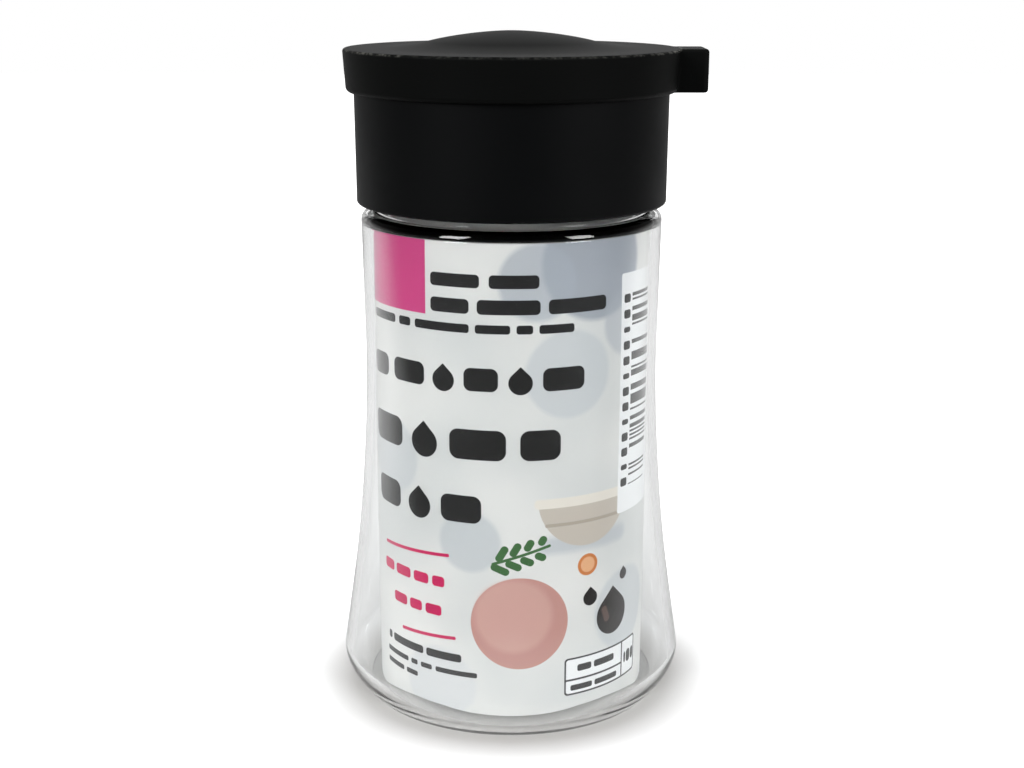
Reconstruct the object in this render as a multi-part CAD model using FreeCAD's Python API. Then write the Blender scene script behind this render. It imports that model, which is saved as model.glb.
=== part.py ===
"""Push-button soy sauce bottle: a waisted clear bottle with a rolled paper insert, a black cap and
a silicone cover whose domed middle is pressed to drive the sauce out of the spout.

Millimetres. +Z is up, the origin is on the bottle's axis at the plane it stands on, and the spout
points along +X.
"""

import FreeCAD
import Part

import math
import os

# ---- Bottle: clear, blown, one piece -------------------------------------------------------------
shoulder_height = 80.8          # from the table to the flat on which the neck stands
shoulder_radius = 24.3
shoulder_rounding = 1.4
shoulder_thickness = 1.5        # of the flat itself, a little more than the walls'
shoulder_inside_rounding = 0.4
waist_radius = 23.88
upper_flare_drop = 12.5         # below the shoulder, where the walls begin to lean out
upper_flare_rounding = 600.0
lower_flare_start = 38.5        # where the straight foot taper would meet the waist
lower_flare_rounding = 250.0
base_radius = 28.5              # widest point, just above the heel
heel_height = 6.6
heel_width = 3.6                # from the widest point in to the ring that the bottle stands on
heel_foot_pull = 0.08           # share of its width over which the heel's curve leans on the foot,
heel_wall_pull = 0.4            # and of its height over which it leans on the wall
foot_width = 1.0                # of that ring
punt_height = 1.8               # rise of the base's middle above the foot ring
bottle_wall = 1.4
base_thickness = 1.2
neck_root_rounding = 0.4
neck_height = 12.7              # from the shoulder to the lip
neck_wall = 1.8
neck_bore_rounding = 0.3        # where the bore widens into the bottle
lip_rounding = 0.5

# ---- Paper insert rolled up inside the bottle ----------------------------------------------------
insert_thickness = 0.3
insert_side_clearance = 0.1     # to the narrowest part of the bottle, where it springs open
insert_floor_clearance = 0.2
insert_top_gap = 0.3            # from its upper edge to the underside of the shoulder
insert_main_angle = 335.0       # of the full-width turn, in degrees
insert_tuck_angle = 42.0        # of the end that slips under the other edge
insert_tuck_tightening = 5.4    # how much smaller the radius of that end is

# ---- Cap: black, screwed on the neck -------------------------------------------------------------
cap_gap = 1.35                  # between the shoulder and the cap's lower edge
cap_overhang = 0.56             # of its lower edge over the shoulder
cap_flare = 0.14                # by which its wall leans out from there to the cover
cap_skirt_height = 17.45        # the part that shows, up to the cover
cap_wall = 1.4
cap_edge_rounding = 0.4
thread_room = 1.56              # between the cap's wall and the neck
flange_thickness = 1.6          # of the inner flange that sits on the bottle's lip
flange_rounding = 1.0           # where the cover's seat rises from it
plug_depth = 5.0                # sealing ring that reaches into the mouth
plug_wall = 1.2
plug_clearance = 0.15
cap_inside_rounding = 0.5
plug_tip_rounding = 0.4
seat_top_rounding = 0.3
cut_overrun = 1.0               # by which a drilled hole's tool passes the wall

# ---- Silicone cover: rim band with the spout -----------------------------------------------------
cover_step = 0.35               # how far the cap's wall steps in to seat the cover
cover_fit = 0.05                # between the cap's wall and the cover's skirt
chamber_wall = 1.7              # of the cap, inside the cover
rim_height = 6.7
rim_top_overhang = 1.65         # of the band over the cap's wall
rim_bottom_overhang = 1.2
rim_top_rounding = 0.45
rim_bottom_rounding = 0.8
rim_roof_thickness = 1.6
rim_ledge_width = 5.65          # the flat ring between the band and the dome
bead_height = 1.4               # snap bead of the cover in the cap's groove
bead_depth = 0.5
bead_slope = 0.47               # height of each of its sloped flanks
bead_above_step = 1.6
spout_length = 4.1              # from the band to the spout's end
spout_width = 9.2
spout_corner = 0.9
spout_root = 1.2                # radius that leads the spout into the band
spout_edge = 0.5
outlet_diameter = 2.2
outlet_below_roof = 1.5         # from the cap's upper edge down to the middle of the outlet

# ---- Push dome: the flexible middle of the cover -------------------------------------------------
dome_height = 2.63              # crown above the rim
dome_hollow_width = 7.7         # of the hollow ring where the dome rises from the rim
dome_thickness = 1.5
dome_running_gap = 0.25         # to the rim, all round

# ---- Radii and levels that the pieces share ------------------------------------------------------
foot_radius = base_radius - heel_width
foot_inside = foot_radius - foot_width
cap_bottom_radius = shoulder_radius + cap_overhang
cap_top_radius = cap_bottom_radius + cap_flare
neck_radius = cap_bottom_radius - cap_wall - thread_room
bore_radius = neck_radius - neck_wall
plug_radius = bore_radius - plug_clearance
plug_inside = plug_radius - plug_wall
seat_radius = cap_top_radius - cover_step
chamber_radius = seat_radius - chamber_wall
rim_top_radius = cap_top_radius + rim_top_overhang
rim_bottom_radius = cap_top_radius + rim_bottom_overhang
dome_foot_radius = rim_top_radius - rim_ledge_width
spout_reach = rim_top_radius + spout_length
insert_radius = min(waist_radius, shoulder_radius, base_radius) - bottle_wall - insert_side_clearance

shoulder_underside = shoulder_height - shoulder_thickness
lip_level = shoulder_height + neck_height
cap_bottom_level = shoulder_height + cap_gap
step_level = cap_bottom_level + cap_skirt_height
rim_level = step_level + rim_height
roof_level = rim_level - rim_roof_thickness


def at(radius, height):
    """A point of the half plane that is turned about the bottle's axis."""
    return FreeCAD.Vector(radius, 0.0, height)


def line(start, end):
    return Part.LineSegment(start, end).toShape()


def rounded(corners):
    """Edges from corner to corner. A corner is (point, rounding), and the ends have none.

    Where two roundings need more than the length between their corners, both are shortened alike.
    """
    points = [point for point, _ in corners]
    lengths = [start.distanceToPoint(end) for start, end in zip(points, points[1:])]
    reach = [0.0] * len(points)
    half_turn = [0.0] * len(points)
    for i in range(1, len(points) - 1):
        turn = (points[i] - points[i - 1]).getAngle(points[i + 1] - points[i])
        half_turn[i] = turn / 2
        reach[i] = corners[i][1] * math.tan(turn / 2)
    share = [1.0] * len(points)
    for i, length in enumerate(lengths):
        needed = reach[i] + reach[i + 1]
        if needed > length:
            share[i] = min(share[i], length / needed)
            share[i + 1] = min(share[i + 1], length / needed)
    edges = []
    here = points[0]
    for i in range(1, len(points) - 1):
        back = (points[i - 1] - points[i]).normalize()
        on = (points[i + 1] - points[i]).normalize()
        run = reach[i] * share[i]
        if run < 1e-6:
            edges.append(line(here, points[i]))
            here = points[i]
            continue
        start, end = points[i] + back * run, points[i] + on * run
        # From the corner to the arc's middle, along the line that halves the corner.
        depth = run * (1 / math.cos(half_turn[i]) - 1) / math.tan(half_turn[i])
        middle = points[i] + (back + on).normalize() * depth
        if here.distanceToPoint(start) > 1e-6:
            edges.append(line(here, start))
        edges.append(Part.Arc(start, middle, end).toShape())
        here = end
    if here.distanceToPoint(points[-1]) > 1e-6:
        edges.append(line(here, points[-1]))
    return edges


def turned(edges):
    """The solid that a closed chain of edges sweeps in a full turn about the axis."""
    face = Part.Face(Part.Wire(edges))
    return face.revolve(FreeCAD.Vector(), FreeCAD.Vector(0, 0, 1), 360)


def wall_corners(inset):
    """Corners of the bottle's wall from the heel to the shoulder's flare, moved in by inset."""
    return [
        (at(base_radius - inset, heel_height), 0.0),
        (at(waist_radius - inset, lower_flare_start), lower_flare_rounding + inset),
        (at(waist_radius - inset, shoulder_height - upper_flare_drop), upper_flare_rounding + inset),
    ]


def heel(foot, foot_level, inset):
    """The rounded heel, from a foot that it leaves level to the taper that it meets in line."""
    top = at(base_radius - inset, heel_height)
    taper = (at(waist_radius - inset, lower_flare_start) - top).normalize()
    rise = heel_height - foot_level
    curve = Part.BezierCurve()
    curve.setPoles([
        at(foot, foot_level),
        at(foot + heel_foot_pull * (top.x - foot), foot_level),
        top - taper * (heel_wall_pull * rise),
        top,
    ])
    return curve.toShape()


def bowed(start, end, rise):
    """A shallow arc that meets the axis square: from start, on the axis, down by rise to end."""
    radius = (rise ** 2 + (end.x - start.x) ** 2) / (2 * rise)
    half_way = (end.x - start.x) / 2
    sag = radius - math.sqrt(radius ** 2 - half_way ** 2)
    return Part.Arc(start, at(half_way, start.z - sag), end).toShape()


def bottle():
    outside = [bowed(at(0, punt_height), at(foot_inside, 0), punt_height)]
    outside.append(line(at(foot_inside, 0), at(foot_radius, 0)))
    outside.append(heel(foot_radius, 0.0, 0.0))
    outside += rounded(wall_corners(0.0) + [
        (at(shoulder_radius, shoulder_height), shoulder_rounding),
        (at(neck_radius, shoulder_height), neck_root_rounding),
        (at(neck_radius, lip_level), lip_rounding),
        (at(bore_radius, lip_level), lip_rounding),
        (at(bore_radius, shoulder_underside), neck_bore_rounding),
        (at(shoulder_radius - bottle_wall, shoulder_underside), shoulder_inside_rounding),
    ] + wall_corners(bottle_wall)[::-1])
    floor = base_thickness
    outside.append(heel(foot_inside, floor, bottle_wall))
    outside.append(bowed(at(0, punt_height + floor), at(foot_inside, floor), punt_height))
    outside.append(line(at(0, punt_height + floor), at(0, punt_height)))
    return turned(outside)


def insert_floor():
    """Height at which the rolled insert comes to rest: on the hollowed floor, or on a narrower heel."""
    if insert_radius > foot_inside:
        return heel_height
    bow = (punt_height ** 2 + foot_inside ** 2) / (2 * punt_height)
    sag = bow - math.sqrt(bow ** 2 - insert_radius ** 2)
    return base_thickness + punt_height - sag


def rolled_edge(radius):
    """One face of the rolled sheet, seen from above: its two arcs and its two end points.

    The full turn starts at the back and runs on in a tighter arc, so that the end slips inside.
    """
    start = math.radians(90 + (360 - insert_main_angle) / 2)
    turn = math.radians(insert_main_angle)
    tuck = math.radians(insert_tuck_angle)
    joint = start + turn

    def around(centre, size, angle):
        return centre + FreeCAD.Vector(math.cos(angle), math.sin(angle), 0) * size

    axis = FreeCAD.Vector()
    tuck_radius = radius - insert_tuck_tightening
    shifted = around(axis, insert_tuck_tightening, joint)
    main = Part.Arc(
        around(axis, radius, start),
        around(axis, radius, start + turn / 2),
        around(axis, radius, joint),
    )
    end = Part.Arc(
        around(shifted, tuck_radius, joint),
        around(shifted, tuck_radius, joint + tuck / 2),
        around(shifted, tuck_radius, joint + tuck),
    )
    return {
        "arcs": [main.toShape(), end.toShape()],
        "first": around(axis, radius, start),
        "last": around(shifted, tuck_radius, joint + tuck),
    }


def label_insert():
    bottom = insert_floor() + insert_floor_clearance
    top = shoulder_underside - insert_top_gap
    outer = rolled_edge(insert_radius)
    inner = rolled_edge(insert_radius - insert_thickness)
    loop = outer["arcs"] + [line(outer["last"], inner["last"])]
    loop += inner["arcs"][::-1] + [line(inner["first"], outer["first"])]
    face = Part.Face(Part.Wire(loop))
    sheet = face.extrude(FreeCAD.Vector(0, 0, top - bottom))
    sheet.translate(FreeCAD.Vector(0, 0, bottom))
    return sheet


def groove(extra):
    """Corners of the snap bead on the seat, from below to above, deepened by extra."""
    low = step_level + bead_above_step - extra
    high = low + bead_height + 2 * extra
    depth = bead_depth + extra
    return [(seat_radius, low), (seat_radius - depth, low + bead_slope),
            (seat_radius - depth, high - bead_slope), (seat_radius, high)]


def cap_body():
    bore = cap_bottom_radius - cap_wall
    flange_top = lip_level + flange_thickness
    plug_tip = lip_level - plug_depth
    corners = [
        (at(plug_inside, flange_top), 0.0),
        (at(plug_inside, plug_tip), plug_tip_rounding),
        (at(plug_radius, plug_tip), plug_tip_rounding),
        (at(plug_radius, lip_level), 0.0),
        (at(bore, lip_level), cap_inside_rounding),
        (at(bore, cap_bottom_level), cap_edge_rounding),
        (at(cap_bottom_radius, cap_bottom_level), cap_edge_rounding),
        (at(cap_top_radius, step_level), 0.0),
        (at(seat_radius, step_level), 0.0),
    ]
    corners += [(at(radius, height), 0.0) for radius, height in groove(cover_fit)]
    corners += [
        (at(seat_radius, roof_level), seat_top_rounding),
        (at(chamber_radius, roof_level), seat_top_rounding),
        (at(chamber_radius, flange_top), flange_rounding),
        (at(plug_inside, flange_top), 0.0),
    ]
    return turned(rounded(corners)).cut(outlet())


def outlet():
    """The sauce's way out: one straight bore through the cap's wall and the spout."""
    start = at(chamber_radius - cut_overrun, roof_level - outlet_below_roof)
    return Part.makeCylinder(outlet_diameter / 2, spout_reach - chamber_radius + 2 * cut_overrun, start,
                             FreeCAD.Vector(1, 0, 0))


def spout():
    """The block that stands out from the band: soft edges, and a flared root that eases into the band."""
    half = spout_width / 2
    meets_band = math.sqrt(rim_bottom_radius ** 2 - half ** 2)
    # The flare leaves the block's sides at 45 degrees, well inside the band.
    flare = spout_width / 2
    back, wide = meets_band - flare, half + flare

    def plan(x, y):
        return FreeCAD.Vector(x, y, step_level)

    edges = rounded([
        (plan(back, -wide), 0.0),
        (plan(meets_band, -half), spout_root),
        (plan(spout_reach, -half), spout_corner),
        (plan(spout_reach, half), spout_corner),
        (plan(meets_band, half), spout_root),
        (plan(back, wide), 0.0),
    ])
    edges.append(line(plan(back, wide), plan(back, -wide)))
    block = Part.Face(Part.Wire(edges)).extrude(FreeCAD.Vector(0, 0, rim_height))
    rims = [edge for edge in block.Edges
            if edge.BoundBox.ZLength < 1e-6 and edge.BoundBox.XMax > back + 1e-3]
    inside = Part.makeCylinder(seat_radius + cover_fit, rim_height + 2 * cut_overrun,
                               at(0, step_level - cut_overrun))
    return block.makeFillet(spout_edge, rims).cut(inside)


def cover_rim():
    inside = seat_radius + cover_fit
    hole = dome_foot_radius
    bead = [(radius + cover_fit, height) for radius, height in groove(0.0)]
    corners = [
        (at(hole, roof_level), 0.0),
        (at(inside, roof_level), 0.0),
    ]
    corners += [(at(radius, height), 0.0) for radius, height in bead[::-1]]
    corners += [
        (at(inside, step_level), 0.0),
        (at(rim_bottom_radius, step_level), rim_bottom_rounding),
        (at(rim_top_radius, rim_level), rim_top_rounding),
        (at(hole, rim_level), 0.0),
    ]
    edges = rounded(corners)
    edges.append(line(at(hole, rim_level), at(hole, roof_level)))
    return turned(edges).fuse(spout()).cut(outlet()).removeSplitter()


def dome_arcs(drop, edge_radius):
    """Crown and foot of the dome's face in one line, lowered by drop and ended at edge_radius.

    The convex crown and the hollow foot turn by the same angle, so they meet in line, and the foot
    ends level with the rim.
    """
    turn = 2 * math.atan(dome_height / dome_foot_radius)
    crown_bend = (dome_foot_radius - dome_hollow_width) / math.sin(turn)
    foot_bend = dome_hollow_width / math.sin(turn)
    crown_centre = at(0, rim_level + dome_height - crown_bend)
    foot_centre = at(dome_foot_radius, rim_level + foot_bend)
    crown_bend, foot_bend = crown_bend - drop, foot_bend + drop
    short = dome_foot_radius - edge_radius
    end = math.asin(short / foot_bend)

    def crown(angle):
        return crown_centre + at(math.sin(angle), math.cos(angle)) * crown_bend

    def foot(angle):
        return foot_centre - at(math.sin(angle), math.cos(angle)) * foot_bend

    arcs = [
        Part.Arc(crown(0), crown(turn / 2), crown(turn)).toShape(),
        Part.Arc(foot(turn), foot((turn + end) / 2), foot(end)).toShape(),
    ]
    return arcs, crown(0), foot(end)


def push_dome():
    edge_radius = dome_foot_radius - dome_running_gap
    outer, outer_top, outer_edge = dome_arcs(0.0, edge_radius)
    inner, inner_top, inner_edge = dome_arcs(dome_thickness, edge_radius)
    return turned(outer + [line(outer_edge, inner_edge)] + inner[::-1] + [line(inner_top, outer_top)])


def main():
    os.makedirs("parts", exist_ok=True)
    nodes = {
        "bottle": bottle(),
        "label_insert": label_insert(),
        "cap_body": cap_body(),
        "cover_rim": cover_rim(),
        "push_dome": push_dome(),
    }
    for name, shape in nodes.items():
        shape.exportStep("parts/" + name + ".step")
        box = shape.BoundBox
        print(name, "valid" if shape.isValid() else "INVALID", len(shape.Solids), "solid,",
              round(shape.Volume / 1000, 2), "cm3, z", round(box.ZMin, 2), "to", round(box.ZMax, 2),
              "x to", round(box.XMax, 2))


main()
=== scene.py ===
"""Push-button soy sauce bottle, dressed: clear bottle, rolled printed insert, black cap and silicone cover.

Metres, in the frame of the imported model: +Z up, the origin where the bottle's axis meets the table, the
spout towards +X and the printed front towards -Y. Sizes are written in millimetres times MM.
"""

import math

import bpy
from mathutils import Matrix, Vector


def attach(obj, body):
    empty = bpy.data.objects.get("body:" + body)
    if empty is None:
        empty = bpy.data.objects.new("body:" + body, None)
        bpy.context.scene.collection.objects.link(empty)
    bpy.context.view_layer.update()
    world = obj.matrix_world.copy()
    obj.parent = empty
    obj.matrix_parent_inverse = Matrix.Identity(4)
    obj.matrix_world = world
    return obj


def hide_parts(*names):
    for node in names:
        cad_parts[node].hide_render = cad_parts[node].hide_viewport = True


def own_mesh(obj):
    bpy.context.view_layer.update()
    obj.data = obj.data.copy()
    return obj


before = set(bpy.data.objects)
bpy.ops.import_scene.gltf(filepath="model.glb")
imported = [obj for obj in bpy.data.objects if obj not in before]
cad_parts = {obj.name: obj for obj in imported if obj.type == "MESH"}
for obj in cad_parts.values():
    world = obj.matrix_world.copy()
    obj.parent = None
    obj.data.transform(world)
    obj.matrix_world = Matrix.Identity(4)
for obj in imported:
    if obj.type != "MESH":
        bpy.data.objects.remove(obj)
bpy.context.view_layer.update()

MM = 0.001


# ---- Camera ------------------------------------------------------------------------------------------
# A short telephoto lens a forearm's length from the bottle and a little above it, looking down on the
# cap's rim. It is turned very slightly about its own line of sight, as a camera held by hand is.
lens_length = 56.25
camera_place = (0.12 * MM, -257.4 * MM, 119.63 * MM)
look_down = 0.2591
camera_roll = 0.0015

bpy.ops.object.camera_add(location=camera_place)
camera = bpy.context.object
camera.rotation_mode = "ZYX"
camera.rotation_euler = (math.pi / 2 - look_down, 0.0, camera_roll)
camera.data.lens = lens_length
camera.data.clip_start = 0.01
bpy.context.scene.camera = camera


# ---- Clear bottle --------------------------------------------------------------------------------------
# Thin-walled bottle of clear PET, blown in one piece: a waist, a flared foot with a rounded heel, a
# hollowed base, and a flat shoulder under a wide neck. It is the piece that everything else sits in or on.
def linear(code):
    """The linear colour of an sRGB hex code."""
    shares = [int(code[i:i + 2], 16) / 255 for i in (1, 3, 5)]
    return [s / 12.92 if s <= 0.04045 else ((s + 0.055) / 1.055) ** 2.4 for s in shares] + [1.0]


def node(tree, kind, inputs=None, **settings):
    """Adds a shader node with its settings. An input is a value, or the socket that feeds it."""
    made = tree.nodes.new("ShaderNode" + kind)
    for name, value in settings.items():
        setattr(made, name, value)
    for name, value in (inputs or {}).items():
        if isinstance(value, bpy.types.NodeSocket):
            tree.links.new(value, made.inputs[name])
        else:
            made.inputs[name].default_value = value
    return made


def blank_material(name):
    """A material with nodes and nothing in them, and its output."""
    material = bpy.data.materials.new(name)
    material.use_nodes = True
    material.node_tree.nodes.clear()
    return material, material.node_tree, node(material.node_tree, "OutputMaterial")


def finish_piece(piece, material, body, replaced):
    """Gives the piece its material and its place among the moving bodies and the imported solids."""
    piece.data.materials.clear()
    piece.data.materials.append(material)
    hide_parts(*replaced)
    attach(piece, body)


def pick(test):
    """In edit mode, selects the vertices whose place passes the test, and nothing else."""
    bpy.ops.mesh.select_mode(type="VERT")
    bpy.ops.mesh.select_all(action="DESELECT")
    bpy.ops.object.mode_set(mode="OBJECT")
    for vertex in bpy.context.object.data.vertices:
        vertex.select = bool(test(vertex.co))
    bpy.ops.object.mode_set(mode="EDIT")


def draw_profile(name, corners):
    """Extrudes a line through the corners, each (radius, height, rounding, steps) in mm, and rounds them."""
    bpy.ops.object.select_all(action="DESELECT")
    bpy.ops.mesh.primitive_plane_add(size=MM)
    piece = bpy.context.object
    piece.name = name
    bpy.ops.object.mode_set(mode="EDIT")
    bpy.ops.mesh.select_all(action="SELECT")
    bpy.ops.mesh.merge(type="CENTER")
    bpy.ops.transform.translate(value=(corners[0][0] * MM, 0.0, corners[0][1] * MM))
    for before, here in zip(corners, corners[1:]):
        step = ((here[0] - before[0]) * MM, 0.0, (here[1] - before[1]) * MM)
        bpy.ops.mesh.extrude_region_move(TRANSFORM_OT_translate={"value": step})
    for before, here, after in zip(corners, corners[1:], corners[2:]):
        radius, height, rounding, steps = here
        if not rounding:
            continue
        into = math.atan2(height - before[1], radius - before[0])
        away = math.atan2(after[1] - height, after[0] - radius)
        turn = abs((away - into + math.pi) % (2 * math.pi) - math.pi)
        setback = rounding * math.tan(turn / 2)
        pick(lambda co: abs(co.x - radius * MM) < 1e-6 and abs(co.z - height * MM) < 1e-6)
        bpy.ops.mesh.bevel(offset=setback * MM, segments=steps, affect="VERTICES", clamp_overlap=False)
    return piece


def turn_on_axis(steps):
    """Spins the profile once round the bottle's axis and closes the seam and the poles."""
    bpy.ops.mesh.select_all(action="SELECT")
    bpy.ops.mesh.spin(steps=steps, angle=2 * math.pi, center=(0, 0, 0), axis=(0, 0, 1))
    bpy.ops.mesh.select_all(action="SELECT")
    bpy.ops.mesh.remove_doubles(threshold=0.002 * MM)
    bpy.ops.mesh.select_all(action="SELECT")
    bpy.ops.mesh.normals_make_consistent(inside=False)
    bpy.ops.object.mode_set(mode="OBJECT")


shoulder = 80.8
shoulder_radius = 24.3
waist = 23.88
base_radius = 28.5
heel_height = 6.6
foot_radius = 24.9
foot_inside = 23.9
punt_height = 1.8
floor_thickness = 1.2
wall = 1.4
shoulder_underside = 79.3
neck_radius = 21.9
neck_bore = 20.1
lip = 93.5
low_flare = 38.5
high_flare = 68.3
low_flare_bend = 250.0
high_flare_bend = 600.0
shoulder_bend, shoulder_inside_bend = 1.4, 0.4
neck_root_bend, lip_bend, bore_bend = 0.4, 0.5, 0.3
heel_foot_pull, heel_wall_pull = 0.08, 0.4


def heel(foot, foot_level, inset, steps=14):
    """Points of the rounded heel, from the foot that it leaves level to the wall that it meets in line."""
    top = (base_radius - inset, heel_height)
    run = math.hypot(base_radius - waist, low_flare - heel_height)
    lean = ((base_radius - waist) / run, (heel_height - low_flare) / run)
    pull = heel_wall_pull * (heel_height - foot_level)
    poles = [(foot, foot_level), (foot + heel_foot_pull * (top[0] - foot), foot_level),
             (top[0] + lean[0] * pull, top[1] + lean[1] * pull), top]
    points = []
    for i in range(steps + 1):
        t = i / steps
        shares = ((1 - t) ** 3, 3 * t * (1 - t) ** 2, 3 * t * t * (1 - t), t ** 3)
        points.append(tuple(sum(s * pole[k] for s, pole in zip(shares, poles)) for k in (0, 1)) + (0, 0))
    return points


# The hollow of the base is a shallow arc: its corner lies where the tangents at its ends cross. Its bend
# stays just short of the full size, so that it ends before the next corner.
bow_share = 0.998
bow = (punt_height ** 2 + foot_inside ** 2) / (2 * punt_height)
bow_corner = foot_inside - punt_height / math.tan(math.asin(foot_inside / bow))
bottle = draw_profile("clear_bottle", [
    (0.0, punt_height, 0, 0),
    (bow_corner, punt_height, bow * bow_share, 14),
    (foot_inside, 0.0, 0, 0),
    *heel(foot_radius, 0.0, 0.0),
    (waist, low_flare, low_flare_bend, 26),
    (waist, high_flare, high_flare_bend, 14),
    (shoulder_radius, shoulder, shoulder_bend, 8),
    (neck_radius, shoulder, neck_root_bend, 4),
    (neck_radius, lip, lip_bend, 4),
    (neck_bore, lip, lip_bend, 4),
    (neck_bore, shoulder_underside, bore_bend, 4),
    (shoulder_radius - wall, shoulder_underside, shoulder_inside_bend, 4),
    (waist - wall, high_flare, high_flare_bend + wall, 14),
    (waist - wall, low_flare, low_flare_bend + wall, 26),
    *heel(foot_inside, floor_thickness, wall)[::-1],
    (bow_corner, punt_height + floor_thickness, bow * bow_share, 14),
    (0.0, punt_height + floor_thickness, 0, 0),
])
turn_on_axis(180)
bpy.ops.object.shade_smooth_by_angle(angle=math.radians(30))

# PET is clear and glossy, and its blown walls waver slightly, which makes highlights on them ripple.
clear_pet, tree, output = blank_material("clear_blown_pet")
place = node(tree, "TexCoord").outputs["Object"]
ripple = node(tree, "TexNoise", {"Vector": place, "Scale": 90.0, "Detail": 1.0})
waver = node(tree, "Bump", {"Height": ripple.outputs[0], "Strength": 0.25, "Distance": 0.05 * MM})
plastic = node(tree, "BsdfPrincipled", {
    "Base Color": linear("#FDFEFE"), "Roughness": 0.02, "IOR": 1.57, "Transmission Weight": 1.0,
    "Normal": waver.outputs[0],
})
see_through = node(tree, "BsdfTransparent", {"Color": linear("#FAFBFB")})
shadow_ray = node(tree, "LightPath").outputs["Is Shadow Ray"]
mixed = node(tree, "MixShader", {0: shadow_ray, 1: plastic.outputs[0], 2: see_through.outputs[0]})
tree.links.new(mixed.outputs[0], output.inputs["Surface"])
finish_piece(bottle, clear_pet, "body", ["bottle"])


# ---- Rolled insert ---------------------------------------------------------------------------------------
# A sheet of thin white card, printed on its outer face, rolled up and pushed in through the mouth. It
# springs open against the waist, and its ends slip past each other at the back.
sheet_radius = 22.38
sheet_low, sheet_high = 1.62, 79.0
sheet_thickness = 0.14
main_angle = math.radians(335)
tuck_angle = math.radians(42)
tuck_in = 5.4
main_length = sheet_radius * main_angle
tuck_radius = sheet_radius - tuck_in
sheet_length = main_length + tuck_radius * tuck_angle
sheet_tall = sheet_high - sheet_low

bpy.ops.object.select_all(action="DESELECT")
bpy.ops.mesh.primitive_grid_add(x_subdivisions=240, y_subdivisions=24, size=1.0)
insert = bpy.context.object
insert.name = "rolled_insert"
first = math.pi * 1.5 - main_angle / 2
joint = first + main_angle
for vertex in insert.data.vertices:
    along = (vertex.co.x + 0.5) * sheet_length
    height = sheet_low + (vertex.co.y + 0.5) * sheet_tall
    angle = first + along / sheet_radius
    spot = Vector((math.cos(angle), math.sin(angle), 0)) * sheet_radius
    if along > main_length:
        angle = joint + (along - main_length) / tuck_radius
        spot = Vector((math.cos(joint), math.sin(joint), 0)) * tuck_in
        spot += Vector((math.cos(angle), math.sin(angle), 0)) * tuck_radius
    spot.z = height
    vertex.co = spot * MM
bpy.ops.object.mode_set(mode="EDIT")
bpy.ops.mesh.select_all(action="SELECT")
bpy.ops.mesh.normals_make_consistent(inside=False)
bpy.ops.object.mode_set(mode="OBJECT")
outward = insert.data.polygons[len(insert.data.polygons) // 2]
if outward.normal.dot(Vector((outward.center.x, outward.center.y, 0))) < 0:
    insert.data.flip_normals()
card = insert.modifiers.new("card", "SOLIDIFY")
card.thickness = sheet_thickness * MM
card.offset = -1.0
card.material_offset = 1
card.material_offset_rim = 1
bpy.ops.object.modifier_apply(modifier="card")
bpy.ops.object.shade_smooth_by_angle(angle=math.radians(30))

print_material, tree, output = blank_material("offset_printed_card")
uv = node(tree, "UVMap", uv_map=insert.data.uv_layers[0].name)
scaled = node(tree, "VectorMath", {0: uv.outputs[0], 1: (sheet_length, sheet_tall, 0)}, operation="MULTIPLY")
lower_margin = 0.93
place = node(tree, "VectorMath", {0: scaled.outputs[0], 1: (main_length / 2, lower_margin, 0)},
             operation="SUBTRACT").outputs[0]


def bar(across, up, wide, high, corner=0.0, turn=0.0, soft=0.07):
    """Mask of a rounded bar on the sheet: its middle and size in mm, from the front and the lower margin."""
    offset = node(tree, "VectorMath", {0: place, 1: (across, up, 0)}, operation="SUBTRACT").outputs[0]
    if turn:
        offset = node(tree, "VectorRotate", {"Vector": offset, "Angle": math.radians(turn)},
                      rotation_type="Z_AXIS").outputs[0]
    if wide == high == 2 * corner:
        reach = node(tree, "VectorMath", {0: offset}, operation="LENGTH").outputs["Value"]
    else:
        folded = node(tree, "VectorMath", {0: offset}, operation="ABSOLUTE").outputs[0]
        beyond = node(tree, "VectorMath", {0: folded, 1: (wide / 2 - corner, high / 2 - corner, 0)},
                      operation="SUBTRACT").outputs[0]
        clipped = node(tree, "VectorMath", {0: beyond, 1: (0, 0, 0)}, operation="MAXIMUM").outputs[0]
        reach = node(tree, "VectorMath", {0: clipped}, operation="LENGTH").outputs["Value"]
    return node(tree, "MapRange", {"Value": reach, "From Min": corner, "From Max": corner + soft,
                                   "To Min": 1.0, "To Max": 0.0}).outputs[0]


def disc(across, up, across_it, soft=0.07):
    """Mask of a disc on the sheet: its middle and diameter in mm."""
    return bar(across, up, across_it, across_it, corner=across_it / 2, soft=soft)


def join(masks):
    """One mask that covers what any of them does."""
    whole = masks[0]
    for mask in masks[1:]:
        whole = node(tree, "Math", {0: whole, 1: mask}, operation="MAXIMUM").outputs[0]
    return whole


def ink(below, colour, mask, strength=1.0):
    """The printed colour below with another laid over it where the mask says."""
    if strength < 1.0:
        mask = node(tree, "Math", {0: mask, 1: strength}, operation="MULTIPLY").outputs[0]
    return node(tree, "Mix", {0: mask, 6: below, 7: colour}, data_type="RGBA").outputs[2]


corner_share = 0.3


def words(left, up, high, widths, gap):
    """Masks of a line of plain bars where a line of small print would be."""
    masks = []
    for wide in widths:
        masks.append(bar(left + wide / 2, up, wide, high, corner=high * corner_share))
        left += wide + gap
    return masks


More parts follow.
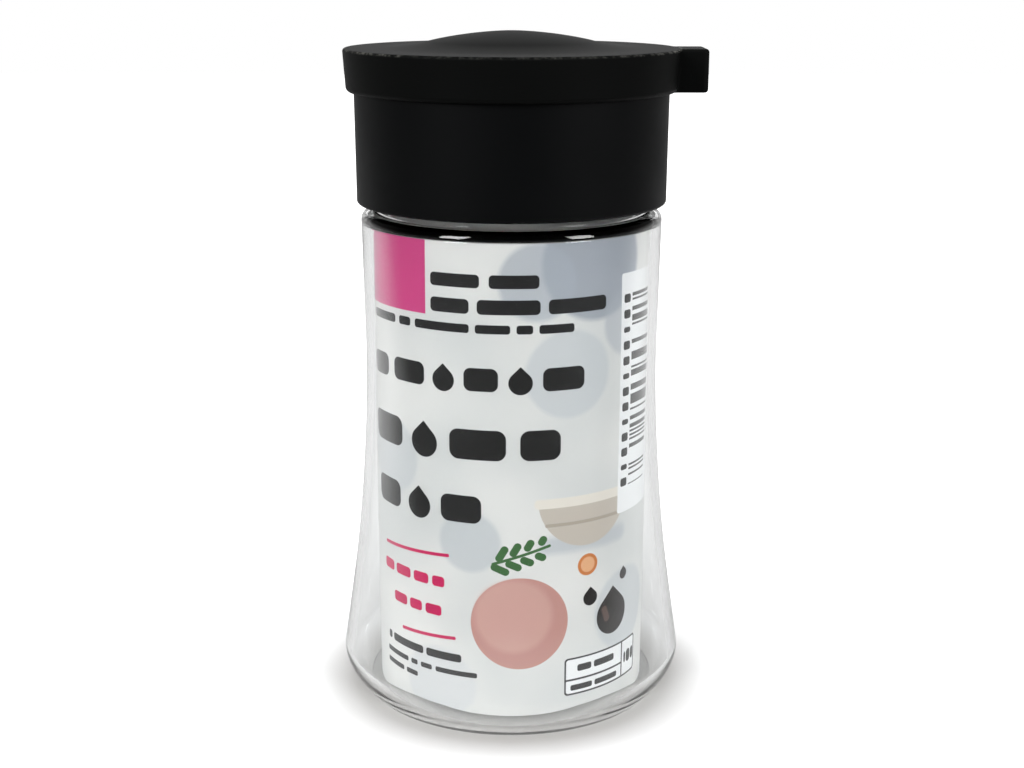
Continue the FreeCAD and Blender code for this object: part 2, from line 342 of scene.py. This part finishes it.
# Ground: pale cool grey, with broad soft discs in darker and lighter greys behind everything else.
split = node(tree, "SeparateXYZ", {0: place})
stretched = node(tree, "VectorMath", {0: place, 1: (0.05, 0.05, 0)}, operation="MULTIPLY").outputs[0]
cloud = node(tree, "TexNoise", {"Vector": stretched, "Scale": 1.0, "Detail": 1.5, "Roughness": 0.4})
tone = node(tree, "ValToRGB", {0: cloud.outputs[0]})
tone.color_ramp.elements[0].position, tone.color_ramp.elements[0].color = 0.36, linear("#D8DAD9")
tone.color_ramp.elements[1].position, tone.color_ramp.elements[1].color = 0.58, linear("#E6E6E4")
colour = tone.outputs[0]
for across, up, across_it, grey, strength in (
    (13.5, 73.0, 17.0, "#9CA3AE", 0.85),
    (4.0, 70.5, 11.0, "#AEB5BE", 0.7),
    (20.5, 63.0, 10.0, "#B4BAC2", 0.6),
    (9.0, 56.0, 13.0, "#C3C9CE", 0.6),
    (-22.0, 41.0, 12.0, "#C0C6CB", 0.5),
    (-6.5, 29.0, 9.0, "#BBC2C7", 0.6),
    (21.0, 15.0, 13.0, "#C2C8CD", 0.6),
    (-12.0, 4.0, 12.0, "#D3D6D9", 0.6),
    (-44.0, 48.0, 22.0, "#BAC1C8", 0.6),
    (46.0, 30.0, 26.0, "#BAC1C8", 0.6),
    (-50.0, 18.0, 15.0, "#C6CBD0", 0.6),
    (52.0, 64.0, 16.0, "#C6CBD0", 0.6),
):
    colour = ink(colour, linear(grey), disc(across, up, across_it, soft=0.9), strength)

# The corner of the front is a plain magenta field.
colour = ink(colour, linear("#CE4585"), bar(-21.8, 71.2, 16.4, 12.4))

# A title of heavy bars with a light line of bars under it.
title = words(-12.6, 70.6, 2.0, (7.8, 7.4), 1.5) + words(-12.6, 66.7, 2.2, (6.2, 9.4, 9.6), 1.3)
title += words(-26.4, 63.3, 1.3, (6.4, 2.4, 9.2, 5.2, 2.4, 5.4), 1.0)
colour = ink(colour, linear("#161617"), join(title))

# Three rows of heavy pills and drops.
def falling_drop(across, up, half):
    """A drop with its point up: a disc, and a square on its corner that has the disc's radius for side."""
    tip = bar(across, up + half / math.sqrt(2), half, half, turn=45)
    return join([disc(across, up, 2 * half), tip])


heavy = []
for left, up, high, widths, gap in (
    (-26.6, 55.4, 3.6, (4.6, 6.4, 0, 5.2, 0, 6.6), 1.6),
    (-27.0, 45.0, 4.8, (8.2, 0, 8.8, 6.2), 2.2),
    (-26.4, 34.4, 4.4, (6.8, 0, 6.6), 2.0),
):
    for wide in widths:
        if wide:
            heavy.append(bar(left + wide / 2, up, wide, high, corner=high * corner_share))
        else:
            wide = high
            heavy.append(falling_drop(left + wide / 2, up - high * 0.12, high / 2))
        left += wide + gap
colour = ink(colour, linear("#161616"), join(heavy))

# Pink: two rows of short bars between two fine rules.
pink = [bar(-17.2, 25.8, 14.6, 0.5, corner=0.2, turn=-4), bar(-14.4, 12.0, 11.0, 0.5, corner=0.2, turn=-4)]
pink += words(-25.0, 21.6, 1.7, (3.0, 3.6, 3.0, 2.2), 0.8) + words(-22.0, 16.6, 1.7, (3.4, 2.6, 3.0), 0.8)
colour = ink(colour, linear("#CC1F5D"), join(pink))

# Motifs at the lower right: a cream bowl at the top, a green sprig and a slice of orange under it, then a
# peach disc and dark drops at its side.
bowl_across, bowl_up = 12.4, 36.0
colour = ink(colour, linear("#BCC2C8"), bar(bowl_across, bowl_up - 7.6, 15.0, 1.6, corner=0.8, soft=1.2), 0.7)
lower_half = bar(bowl_across, bowl_up - 9.4, 30.0, 18.0)
whole_bowl = disc(bowl_across, bowl_up, 16.4)
bowl = node(tree, "Math", {0: whole_bowl, 1: lower_half}, operation="MULTIPLY").outputs[0]
colour = ink(colour, linear("#C9C1B6"), bowl)
colour = ink(colour, linear("#E9E4DB"), bar(bowl_across, bowl_up - 0.6, 17.6, 1.5, corner=0.6))
colour = ink(colour, linear("#B3A99C"), bar(bowl_across, bowl_up - 4.2, 14.2, 0.5, corner=0.2))
colour = ink(colour, linear("#C4948C"), disc(1.4, 15.6, 15.4))
colour = ink(colour, linear("#D2A9A0"), disc(0.4, 16.8, 11.0, soft=1.2), 0.8)
colour = ink(colour, linear("#1D1716"), join([
    falling_drop(18.0, 14.6, 3.4), falling_drop(13.2, 18.6, 1.3), falling_drop(20.6, 20.8, 0.9)]))
colour = ink(colour, linear("#5A4640"), bar(16.4, 15.0, 0.9, 2.6, corner=0.45, turn=-20, soft=0.3))
sprig_across, sprig_up, sprig_lean = -3.6, 25.4, 18
leaf_aside = 1.2
sprig = [bar(sprig_across + 5.2, sprig_up + 1.7, 9.6, 0.4, corner=0.2, turn=-sprig_lean)]
rise = math.radians(sprig_lean)
for step in range(8):
    along = 1.6 + 1.1 * step
    side = 1 if step % 2 else -1
    leaf_across = sprig_across + along * math.cos(rise) - side * leaf_aside * math.sin(rise)
    leaf_up = sprig_up + along * math.sin(rise) + side * leaf_aside * math.cos(rise)
    sprig.append(bar(leaf_across, leaf_up, 3.0 - 0.2 * step, 1.15, corner=0.57, turn=-sprig_lean - side * 42))
colour = ink(colour, linear("#3F6A3C"), join(sprig))
colour = ink(colour, linear("#CF8147"), disc(12.6, 24.4, 3.6))
colour = ink(colour, linear("#E5B084"), disc(12.6, 24.4, 2.5))

# Small print, and an outlined box beside it.
colour = ink(colour, linear("#1E1E1E"), join(
    words(-24.4, 9.0, 1.3, (1.0, 7.6, 6.4), 0.7)
    + words(-24.8, 6.4, 0.8, (6.2, 1.4, 2.2, 7.2), 0.8) + words(-24.8, 4.4, 0.8, (5.0, 2.6), 0.8)))
box_middle, box_low, box_wide, box_high = 16.9, 5.6, 16.4, 6.4
colour = ink(colour, linear("#F2F3F4"), bar(box_middle, box_low, box_wide, box_high, corner=0.6))
edge = node(tree, "Math", {0: 1.0, 1: bar(box_middle, box_low, box_wide - 0.6, box_high - 0.6, corner=0.4)},
            operation="SUBTRACT").outputs[0]
outline = node(tree, "Math", {0: bar(box_middle, box_low, box_wide, box_high, corner=0.6), 1: edge},
               operation="MULTIPLY").outputs[0]
box_marks = [outline, bar(20.8, box_low, 0.26, box_high), bar(14.7, 5.0, 12.0, 0.26)]
box_marks += words(11.0, 6.9, 1.1, (2.6, 4.4), 0.6) + words(9.8, 3.6, 0.9, (4.0, 5.0), 0.6)
box_marks += words(21.5, box_low, 2.2, (0.5, 1.2, 0.9), 0.3)
colour = ink(colour, linear("#1A1A1B"), join(box_marks))

# A white strip with bars of uneven width across it and a column of ticks, such as a price label carries.
colour = ink(colour, linear("#F6F7F8"), bar(24.4, 51.0, 11.6, 39.0, corner=0.4))
module = 0.33
cell = node(tree, "Math", {0: split.outputs[1], 1: module}, operation="DIVIDE")
cell = node(tree, "Math", {0: cell.outputs[0]}, operation="FLOOR")
dark = node(tree, "TexWhiteNoise", {"W": cell.outputs[0]}, noise_dimensions="1D")
dark = node(tree, "Math", {0: dark.outputs[0], 1: 0.5}, operation="GREATER_THAN")
strip = node(tree, "Math", {0: dark.outputs[0], 1: bar(24.2, 51.5, 5.8, 31.35)}, operation="MULTIPLY")
ticks = [bar(20.0, 36.5 + 2.5 * i, 1.5, 1.3 - 0.5 * (i % 3 == 1), corner=0.3) for i in range(13)]
colour = ink(colour, linear("#1C1C1C"), join([strip.outputs[0]] + ticks))

# Card scatters light through itself, so the hollow inside it glows softly.
gloss = node(tree, "BsdfPrincipled", {"Base Color": colour, "Roughness": 0.45, "Specular IOR Level": 0.3})
through = node(tree, "BsdfTranslucent", {"Color": colour})
mixed = node(tree, "MixShader", {0: 0.24, 1: gloss.outputs[0], 2: through.outputs[0]})
tree.links.new(mixed.outputs[0], output.inputs["Surface"])

back_material, tree, output = blank_material("bare_white_card")
place = node(tree, "TexCoord").outputs["Object"]
fibre = node(tree, "TexNoise", {"Vector": place, "Scale": 1800.0, "Detail": 2.0})
tone = node(tree, "Mix", {0: fibre.outputs[0], 6: linear("#EEEEEE"), 7: linear("#FAFAF9")}, data_type="RGBA")
matt = node(tree, "BsdfPrincipled", {"Base Color": tone.outputs[2], "Roughness": 0.8})
through = node(tree, "BsdfTranslucent", {"Color": tone.outputs[2]})
mixed = node(tree, "MixShader", {0: 0.5, 1: matt.outputs[0], 2: through.outputs[0]})
tree.links.new(mixed.outputs[0], output.inputs["Surface"])

insert.data.materials.clear()
insert.data.materials.append(print_material)
insert.data.materials.append(back_material)
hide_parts("label_insert")
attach(insert, "body")


# ---- Cap ---------------------------------------------------------------------------------------------------
# Injection-moulded in black polypropylene and screwed on the neck. Its wall is eroded in the mould to a
# fine matt grain, so that wet fingers grip it.
moulded_pp, tree, output = blank_material("black_moulded_polypropylene")
place = node(tree, "TexCoord").outputs["Object"]
grain = node(tree, "TexNoise", {"Vector": place, "Scale": 3200.0, "Detail": 2.0})
relief = node(tree, "Bump", {"Height": grain.outputs[0], "Strength": 0.5, "Distance": 0.01 * MM})
handled = node(tree, "TexNoise", {"Vector": place, "Scale": 60.0, "Detail": 3.0})
dullness = node(tree, "MapRange", {"Value": handled.outputs[0], "From Min": 0.3, "From Max": 0.7,
                                   "To Min": 0.5, "To Max": 0.62})
plastic = node(tree, "BsdfPrincipled", {
    "Base Color": linear("#040506"), "Roughness": dullness.outputs[0], "Specular IOR Level": 0.09,
    "Normal": relief.outputs[0],
})
tree.links.new(plastic.outputs[0], output.inputs["Surface"])
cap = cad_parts["cap_body"]
cap.data.materials.clear()
cap.data.materials.append(moulded_pp)


# ---- Silicone cover: rim band and spout --------------------------------------------------------------------
# One moulding of soft black silicone, snapped over the cap's step. The band carries the spout, and its
# middle is the dome. Its slightly tacky face picks up dust in specks. Along the band's upper edge runs a pale
# line that is partly dust and partly a painted highlight, painted stronger at the left and right than in
# front.
edge_radius, edge_height = 26.5, 106.2      # the band's upper edge, where dust catches and a highlight is painted
dust_and_highlight_line = (0.05, 0.35)
less_in_front = (14, 25)
silicone, tree, output = blank_material("black_moulded_silicone")
place = node(tree, "TexCoord").outputs["Object"]
specks = node(tree, "TexVoronoi", {"Vector": place, "Scale": 260.0})
size = node(tree, "SeparateColor", {0: specks.outputs["Color"]})
reach = node(tree, "MapRange", {"Value": size.outputs[0], "From Min": 0.8, "From Max": 1.0,
                                "To Min": 0.0, "To Max": 0.035})
dust_and_edge_highlight = node(tree, "Math", {0: specks.outputs["Distance"], 1: reach.outputs[0]}, operation="LESS_THAN")
flat = node(tree, "VectorMath", {0: place, 1: (1, 1, 0)}, operation="MULTIPLY").outputs[0]
from_axis = node(tree, "VectorMath", {0: flat}, operation="LENGTH").outputs["Value"]
height = node(tree, "SeparateXYZ", {0: place}).outputs[2]
aside = node(tree, "Math", {0: from_axis, 1: edge_radius * MM}, operation="SUBTRACT").outputs[0]
above = node(tree, "Math", {0: height, 1: edge_height * MM}, operation="SUBTRACT").outputs[0]
both = node(tree, "CombineXYZ", {0: aside, 1: above}).outputs[0]
reach = node(tree, "VectorMath", {0: both}, operation="LENGTH").outputs["Value"]
# Painted highlight: the edge line is painted at full strength at the left and right, where the upper edge
# catches the light, and at a quarter of it in front.
sideways = node(tree, "SeparateXYZ", {0: place}).outputs[0]
sideways = node(tree, "Math", {0: sideways}, operation="ABSOLUTE")
painted_side_highlight = node(tree, "MapRange", {"Value": sideways.outputs[0], "From Min": less_in_front[0] * MM,
                                  "From Max": less_in_front[1] * MM, "To Min": 0.25}).outputs[0]
near = node(tree, "MapRange", {"Value": reach, "From Min": dust_and_highlight_line[0] * MM,
                               "From Max": dust_and_highlight_line[1] * MM, "To Min": painted_side_highlight, "To Max": 0.0}).outputs[0]
broken = node(tree, "TexNoise", {"Vector": place, "Scale": 900.0, "Detail": 4.0, "Roughness": 0.7})
edge_dust_and_highlight = node(tree, "MapRange", {"Value": broken.outputs[0], "From Min": 0.45, "From Max": 0.85}).outputs[0]
edge_dust_and_highlight = node(tree, "Math", {0: edge_dust_and_highlight, 1: near}, operation="MULTIPLY").outputs[0]
dust_and_edge_highlight = node(tree, "Math", {0: dust_and_edge_highlight.outputs[0], 1: edge_dust_and_highlight}, operation="MAXIMUM").outputs[0]
bloom = node(tree, "TexNoise", {"Vector": place, "Scale": 45.0, "Detail": 4.0})
tone = node(tree, "Mix", {0: bloom.outputs[0], 6: linear("#040505"), 7: linear("#0B0C0B")}, data_type="RGBA")
# Pale grey #8D8C86 over the black: dust in specks, and along the upper edge a line that is partly dust and
# partly a painted highlight.
tone = node(tree, "Mix", {0: dust_and_edge_highlight, 6: tone.outputs[2], 7: linear("#8D8C86")}, data_type="RGBA")
skin = node(tree, "TexNoise", {"Vector": place, "Scale": 1500.0, "Detail": 2.0})
relief = node(tree, "Bump", {"Height": skin.outputs[0], "Strength": 0.4, "Distance": 0.008 * MM})
rubber = node(tree, "BsdfPrincipled", {
    "Base Color": tone.outputs[2], "Roughness": 0.62, "Specular IOR Level": 0.055,
    "Normal": relief.outputs[0],
})
tree.links.new(rubber.outputs[0], output.inputs["Surface"])
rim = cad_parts["cover_rim"]
rim.data.materials.clear()
rim.data.materials.append(silicone)


# ---- Silicone cover: push dome -----------------------------------------------------------------------------
# The middle of the same moulding: a shallow skin that rises level from the rim, hollow and then crowned.
# It is drawn out over the rim's inner edge, as the real cover has no seam there. The real dome
# flattens when pushed.
rim_level = 106.3
dome_height = 2.63
dome_foot = 21.0
hollow_width = 7.7
skin_thickness = 1.5
running_gap = 0.25
seam_cover = 0.06
edge_depth, edge_thickness = 0.1, 0.01
over_rim = 0.004
bend_share = 0.99
dome_turn = 2 * math.atan(dome_height / dome_foot)
crown_bend = (dome_foot - hollow_width) / math.sin(dome_turn)
foot_bend = hollow_width / math.sin(dome_turn)
crown_corner = crown_bend * math.tan(dome_turn / 2)
foot_corner = dome_foot - foot_bend * math.tan(dome_turn / 2)
face = rim_level + over_rim
dome = draw_profile("silicone_dome", [
    (0.0, face + dome_height - skin_thickness, 0, 0),
    (crown_corner, face + dome_height - skin_thickness, crown_bend * bend_share, 16),
    (foot_corner, face - skin_thickness, foot_bend * bend_share, 12),
    (dome_foot - running_gap, face - skin_thickness, 0, 0),
    (dome_foot - running_gap, face - edge_depth, 0, 0),
    (dome_foot + seam_cover, face - edge_thickness, 0, 0),
    (dome_foot + seam_cover, face, 0, 0),
    (foot_corner, face, foot_bend * bend_share, 12),
    (crown_corner, face + dome_height, crown_bend * bend_share, 16),
    (0.0, face + dome_height, 0, 0),
])
turn_on_axis(180)
bpy.ops.object.shade_smooth_by_angle(angle=math.radians(30))
finish_piece(dome, silicone, "body", ["push_dome"])
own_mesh(dome)


# ---- Floor, light and background -------------------------------------------------------------------------
# A sweep of pale card lies under the bottle and rises to white behind it. In front it ends in a dark bench
# top, which keeps the glare off the bottle's clear front wall. Round the foot the card is painted a darker
# grey, a painted contact shadow.
floor_drop = 0.1
card_spread = 0.55
bench_to_card = (-160, -50)
painted_contact_shadow = (26, 34)
shadow_to_white = (27, 50)
mirrored_glow = 0.05
bpy.ops.object.select_all(action="DESELECT")
bpy.ops.mesh.primitive_plane_add(size=3.0, location=(0, 0, -floor_drop * MM))
floor = bpy.context.object
floor.name = "pale_floor"
pale, tree, output = blank_material("pale_card")
path = node(tree, "LightPath").outputs
seen = node(tree, "Math", {0: path["Is Camera Ray"], 1: path["Is Glossy Ray"]}, operation="MAXIMUM")
seen = node(tree, "Math", {0: seen.outputs[0], 1: path["Is Transmission Ray"]}, operation="MAXIMUM")
place = node(tree, "TexCoord").outputs["Object"]
spot = node(tree, "SeparateXYZ", {0: place}).outputs
aside = node(tree, "Math", {0: spot[0]}, operation="ABSOLUTE").outputs[0]
inward = node(tree, "Math", {0: aside, 1: -card_spread, 2: spot[1]}, operation="MULTIPLY_ADD").outputs[0]
on_card = node(tree, "MapRange", {"Value": inward, "From Min": bench_to_card[0] * MM,
                                  "From Max": bench_to_card[1] * MM}).outputs[0]
away = node(tree, "VectorMath", {0: place}, operation="LENGTH").outputs["Value"]
rise = node(tree, "MapRange", {"Value": away, "From Min": shadow_to_white[0] * MM,
                               "From Max": shadow_to_white[1] * MM, "To Min": 0.06, "To Max": 1.0}).outputs[0]
strength = node(tree, "Mix", {0: path["Is Camera Ray"], 2: mirrored_glow, 3: rise}).outputs[0]
tone = node(tree, "Mix", {0: on_card, 6: linear("#3C3C3C"), 7: linear("#D2D2D2")}, data_type="RGBA")
# Painted shadow: within 26 to 34 mm of the axis the card's colour goes to grey #A9A7A5, a contact shadow
# painted round the foot.
near = node(tree, "MapRange", {"Value": away, "From Min": painted_contact_shadow[0] * MM,
                               "From Max": painted_contact_shadow[1] * MM}).outputs[0]
tone = node(tree, "Mix", {0: near, 6: linear("#A9A7A5"), 7: tone.outputs[2]}, data_type="RGBA")
card = node(tree, "BsdfDiffuse", {"Color": tone.outputs[2]})
glow = node(tree, "Emission", {"Color": linear("#FFFFFF"), "Strength": strength})
both = node(tree, "AddShader", {0: card.outputs[0], 1: glow.outputs[0]})
mixed = node(tree, "MixShader", {0: seen.outputs[0], 1: card.outputs[0], 2: both.outputs[0]})
tree.links.new(mixed.outputs[0], output.inputs["Surface"])
floor.data.materials.append(pale)

# The room is even and pale, white behind the bottle and darker behind the camera.
room_level = 0.62
world = bpy.data.worlds.new("studio")
bpy.context.scene.world = world
world.use_nodes = True
tree = world.node_tree
tree.nodes.clear()
output = node(tree, "OutputWorld")
path = node(tree, "LightPath").outputs
heading = node(tree, "TexCoord").outputs["Generated"]
sides = node(tree, "SeparateXYZ", {0: heading}).outputs
mirrored = node(tree, "MapRange", {"Value": sides[1], "From Min": 0.1, "From Max": 0.8,
                                   "To Min": 0.12, "To Max": 0.8}).outputs[0]
under_ceiling = node(tree, "MapRange", {"Value": sides[2], "From Min": 0.06, "From Max": 0.3,
                                        "To Min": 1.0, "To Max": 0.1}).outputs[0]
mirrored = node(tree, "Math", {0: mirrored, 1: under_ceiling}, operation="MULTIPLY").outputs[0]
crisp = node(tree, "Math", {0: path["Is Glossy Ray"], 1: path["Is Transmission Ray"]}, operation="MAXIMUM")
room = node(tree, "Background", {"Color": linear("#FFFFFF"), "Strength": room_level})
sweep = node(tree, "Background", {"Color": linear("#FFFFFF"), "Strength": mirrored})
white = node(tree, "Background", {"Color": linear("#FFFFFF"), "Strength": 1.0})
mixed = node(tree, "MixShader", {0: crisp.outputs[0], 1: room.outputs[0], 2: sweep.outputs[0]})
mixed = node(tree, "MixShader", {0: path["Is Camera Ray"], 1: mixed.outputs[0], 2: white.outputs[0]})
tree.links.new(mixed.outputs[0], output.inputs["Surface"])


def soft_lamp(name, place, size, power, seen_through=True):
    """A soft box that looks at the middle of the bottle, seen or unseen through its clear walls."""
    bpy.ops.object.light_add(type="AREA", location=place)
    lamp = bpy.context.object
    lamp.name = name
    lamp.data.shape = "RECTANGLE"
    lamp.data.size, lamp.data.size_y = size
    lamp.data.energy = power
    lamp.rotation_euler = (Vector((0, 0, 0.05)) - Vector(place)).to_track_quat("-Z", "Y").to_euler()
    lamp.visible_transmission = seen_through


soft_lamp("overhead", (-0.1, 0.0, 0.9), (0.5, 0.4), 2.2)
soft_lamp("left", (-0.6, -0.6, 0.45), (0.3, 0.45), 5.0)
soft_lamp("right", (0.7, -0.5, 0.4), (0.3, 0.5), 4.4)
soft_lamp("behind", (0.1, 0.9, 0.5), (0.9, 0.6), 2.0, seen_through=False)

bpy.context.scene.view_settings.view_transform = "Standard"
